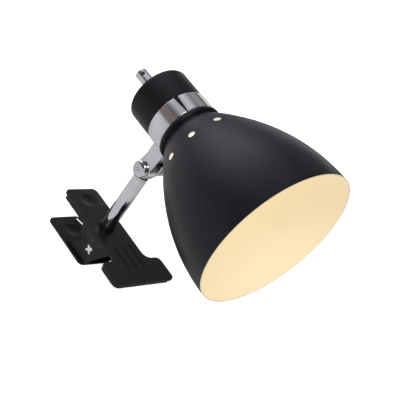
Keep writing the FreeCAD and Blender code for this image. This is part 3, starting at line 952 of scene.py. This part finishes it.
# ---- the clip --------------------------------------------
@dataclass
class Clip:
    """Two moulded levers on a steel pin, pushed apart by a wound spring."""

    pivot: Vector
    wire: float = 0.8 * MM
    coil: float = 5.4 * MM
    pitch: float = 2.4 * MM
    turns: int = 8
    leg_side: float = 10.6 * MM
    sides: int = 14                     # faces round the wire

    @classmethod
    def from_frame(cls) -> "Clip":
        """Read the pivot from the sleeve."""
        low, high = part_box("pivot_sleeve")
        return cls(pivot=0.5 * (low + high))

    def tangent(self, end: Vector, side: float, spin: float) -> tuple[Array, float]:
        """Point of the coil's circle from which a straight leg runs to end, and its angle from +X to +Z."""
        dx, dz = end.x - self.pivot.x, end.z - self.pivot.z
        angle = math.atan2(dz, dx) + spin * math.acos(self.coil / math.hypot(dx, dz))
        touch = [self.pivot.x + self.coil * math.cos(angle), side, self.pivot.z + self.coil * math.sin(angle)]
        return np.array(touch), angle

    def wire_tube(self, name: str, path: Array, across: Array) -> Piece:
        """Carry a round section along a path: each point's circle lies in the plane of two square vectors.

        Args:
            name: the piece's name.
            path: n x 3 points.
            across: n x 3 unit vectors square to the path.

        Returns:
            The wire, with its ends closed.
        """
        tangent = np.gradient(path, axis=0)
        tangent /= np.linalg.norm(tangent, axis=1, keepdims=True)
        other = np.cross(tangent, across)
        other /= np.linalg.norm(other, axis=1, keepdims=True)
        first = np.cross(other, tangent)
        angle = circle(self.sides)
        ring = np.cos(angle)[None, :, None] * first[:, None] + np.sin(angle)[None, :, None] * other[:, None]
        points = path[:, None] + self.wire * ring
        hub = len(path) * self.sides
        edge = np.arange(self.sides)
        start = np.stack([edge, np.roll(edge, -1), np.full(self.sides, hub)], -1)
        stop = start + [hub - self.sides, hub - self.sides, 1]
        cloud = np.concatenate([points.reshape(-1, 3), path[[0, -1]]])
        faces = grid_faces(len(path), self.sides, False, True)
        return mesh_object(name, cloud, [faces, start, stop], smooth=60)

    def coil_path(self, start_side: float, stop_side: float, start: float,
                  turns: float) -> tuple[Array, Array]:
        """Points of a coil about the pivot's axis, and the spokes that point at them."""
        t = np.linspace(0, 1, int(40 * abs(turns)) + 1)
        angle = start + TAU * turns * t
        spoke = np.stack([np.cos(angle), 0 * t, np.sin(angle)], -1)
        base = np.stack([np.full_like(t, self.pivot.x), start_side + (stop_side - start_side) * t,
                         np.full_like(t, self.pivot.z)], -1)
        return base + self.coil * spoke, spoke

    def leg_path(self, start: Array, end: Vector) -> Array:
        """Straight run of points from the leg's free end to the coil."""
        t = np.linspace(0, 1, 12)[:-1, None]
        return np.array(end) * (1 - t) + start * t

    def legged(self, name: str, leg: Array, path: Array, spoke: Array) -> Piece:
        """Wire that runs along a leg and on round its coil."""
        across = np.concatenate([np.repeat(spoke[:1], len(leg), 0), spoke])
        return self.wire_tube(name, np.concatenate([leg, path]), across)

    def spring(self) -> Piece:
        """Fixed leg under the front lever, then the coil."""
        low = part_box("clip_spring")[0]
        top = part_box("front_lever")[1].z
        end = Vector((low.x + 1.0 * MM, -self.leg_side, top - 2.0 * MM - self.wire - 0.05 * MM))
        start, angle = self.tangent(end, -self.leg_side, -1)
        last = -self.leg_side + self.pitch * self.turns
        path, spoke = self.coil_path(-self.leg_side, last, angle, -self.turns)
        return self.legged("spring_wound", self.leg_path(start, end), path, spoke)

    def moving_leg(self) -> Piece:
        """Last turn of the spring and the leg on the rear lever."""
        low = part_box("spring_moving_leg")[0]
        end = Vector((low.x + 0.6 * MM, self.leg_side, low.z + self.wire + 0.25 * MM))
        start, angle = self.tangent(end, self.leg_side, 1)
        path, spoke = self.coil_path(self.leg_side, self.leg_side, angle, 0.985)
        return self.legged("spring_leg_wire", self.leg_path(start, end), path, spoke)

    def make(self, frame: dict) -> None:
        """Build and dress the clip."""
        bevelled_copy(frame, "front_lever", CLIP_PLASTIC, "clip", 0.45 * MM)
        bevelled_copy(frame, "rear_lever", CLIP_PLASTIC, "rear_jaw", 0.45 * MM)
        bevelled_copy(frame, "front_jaw_pad", PAD_RUBBER, "clip", 0.2 * MM)
        bevelled_copy(frame, "rear_jaw_pad", PAD_RUBBER, "rear_jaw", 0.2 * MM)
        bevelled_copy(frame, "pivot_pin", BRIGHT_STEEL, "clip", 0.25 * MM)
        dress(self.spring(), [BRIGHT_STEEL], "clip", ["clip_spring"])
        dress(self.moving_leg(), [BRIGHT_STEEL], "rear_jaw", ["spring_moving_leg"])


PLAIN_NODES = {
    CLIP_PLASTIC: ("pivot_sleeve",),
    ZINC: ("arm_stud", "swivel_washer", "swivel_nut", "bracket_screw", "bracket_nut", "threaded_nipple",
           "nipple_nut"),
    NYLON: ("tilt_washers",),
    HOLDER_WHITE: ("shade_ring", "lampholder_body"),
    BRASS: ("terminal_screws", "screw_shell", "centre_contact"),
    DARK_STEEL: ("grip_screw",),
    NICKEL: ("bulb_cap",),
}


def dress_inner_nodes(frame: dict) -> None:
    """Give the CAD nodes whose shape is already right their finishes."""
    for finish, nodes in PLAIN_NODES.items():
        made = finish.material()
        for thing in (frame["nodes"][node] for node in nodes):
            if not thing.data.materials:
                thing.data.materials.append(made)
            for slot in thing.material_slots:
                slot.material = made
            LOG.info("%s dressed in %s", thing.name, finish.name)


# ---- the studio ------------------------------------------
@dataclass(frozen=True)
class Patch:
    """Soft patch of light in the surroundings: full inside the cosine `core`, gone outside `edge`."""

    direction: Place
    colour: Rgb
    edge: float
    core: float


@dataclass(frozen=True)
class Softbox:
    """Square soft light aimed at a point."""

    name: str
    place: Place
    size: float
    power: float
    aim: Place

    def make(self) -> None:
        """Add the light."""
        data = bpy.data.lights.new(self.name, "AREA")
        data.shape = "SQUARE"
        data.size = self.size
        data.energy = self.power
        thing = bpy.data.objects.new(self.name, data)
        thing.location = self.place
        thing.rotation_mode = "QUATERNION"
        thing.rotation_quaternion = (Vector(self.aim) - Vector(self.place)).to_track_quat("-Z", "Y")
        show(thing)


@dataclass
class Studio:
    """Pale floor, soft lights and the camera."""

    lowest: float
    camera_place: Vector = field(default_factory=lambda: Vector((0.3370, -0.5755, 0.4362)))
    right: Vector = field(default_factory=lambda: Vector((0.553, 0.642, 0.531)))
    down: Vector = field(default_factory=lambda: Vector((0.705, -0.021, -0.709)))
    lens: float = 90.0
    sensor: float = 36.0
    floor_half: float = 8.0
    dim: Rgb = (0.13, 0.13, 0.135)      # the surroundings away from the patches
    lights: tuple[Softbox, ...] = (
        Softbox("key", (0.45, -0.75, 1.35), 0.7, 13.0, (0.0, 0.0, 0.08)),
        Softbox("side", (-1.3, -0.2, 0.95), 0.9, 2.6, (0.0, 0.0, 0.1)),
    )
    patches: tuple[Patch, ...] = (
        Patch((-0.88, -0.12, 0.46), (1.65, 1.72, 1.86), 0.72, 1.0),
        Patch((-0.76, 0.60, 0.22), (0.42, 0.43, 0.45), 0.93, 0.99),
        Patch((-0.507, -0.31, 0.806), (0.60, 0.60, 0.61), 0.94, 0.995),
        Patch((-0.52, 0.60, 0.62), (0.36, 0.36, 0.36), 0.95, 0.995),
        Patch((-0.50, 0.86, 0.02), (0.95, 0.95, 0.98), 0.95, 0.99),
        Patch((-0.507, -0.848, 0.15), (0.26, 0.215, 0.19), 0.95, 0.985),
    )

    def camera(self) -> None:
        """Camera whose picture axes are given as directions in the part's frame."""
        data = bpy.data.cameras.new("camera")
        data.lens = self.lens
        data.sensor_width = self.sensor
        data.clip_end = 50.0
        thing = bpy.data.objects.new("camera", data)
        x = self.right.normalized()
        z = x.cross(-self.down.normalized()).normalized()
        y = z.cross(x)
        turn = Matrix((x, y, z)).transposed().to_4x4()
        thing.matrix_world = Matrix.Translation(self.camera_place) @ turn
        show(thing)
        bpy.context.scene.camera = thing

    def floor(self) -> None:
        """Wide pale floor that the rear lever stands on."""
        half = self.floor_half
        corners = np.array([(-half, -half), (half, -half), (half, half), (-half, half)])
        corners = np.column_stack([corners, np.full(4, self.lowest)])
        thing = mesh_object("floor", corners, [np.array([[0, 1, 2, 3]])])
        made = bpy.data.materials.new("floor_white")
        made.use_nodes = True
        tree = made.node_tree
        seen = tree.nodes.new("ShaderNodeLightPath").outputs["Is Camera Ray"]
        settle(tree, tree.nodes["Principled BSDF"], {
            "Base Color": (0.93, 0.93, 0.93, 1.0), "Roughness": 0.9, "Specular IOR Level": 0.1,
            "Emission Strength": 0.9, "Emission Color": seen})
        thing.data.materials.append(made)
        thing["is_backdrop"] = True

    def sky(self) -> None:
        """Dim surroundings with soft pale patches: each patch fades with the angle from its direction."""
        world = bpy.data.worlds.new("studio")
        world.use_nodes = True
        tree = world.node_tree
        vector = tree.nodes.new("ShaderNodeTexCoord").outputs["Generated"]
        colour: Socket | Rgb = self.dim
        for patch in self.patches:
            dot = tree.nodes.new("ShaderNodeVectorMath")
            dot.operation = "DOT_PRODUCT"
            link(tree, vector, dot.inputs[0])
            link(tree, Vector(patch.direction).normalized(), dot.inputs[1])
            share = ramp(tree, dot.outputs["Value"], patch.edge, patch.core)
            colour = mixed(tree, share, colour, patch.colour)
        # the backdrop past the floor's edge is as white as the floor
        seen = tree.nodes.new("ShaderNodeLightPath").outputs["Is Camera Ray"]
        link(tree, mixed(tree, seen, colour, WHITE), tree.nodes["Background"].inputs["Color"])
        bpy.context.scene.world = world

    def make(self) -> None:
        """Set up the whole studio."""
        bpy.context.scene.view_settings.view_transform = "Standard"
        self.camera()
        self.floor()
        for light in self.lights:
            light.make()
        self.sky()


def main() -> None:
    """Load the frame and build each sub-assembly in order."""
    logging.basicConfig(level=logging.INFO, format="%(message)s")
    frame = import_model()
    cad_box = [list(corner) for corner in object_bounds()]
    studio = Studio(lowest=cad_box[0][2])
    studio.make()
    axis = HeadAxis.from_frame()
    Shade(axis).make()
    HeadCasing(axis).make(frame)
    Bulb(axis).make()
    Arm.from_frame().make(frame)
    Clip.from_frame().make(frame)
    dress_inner_nodes(frame)


if __name__ == "__main__":
    main()
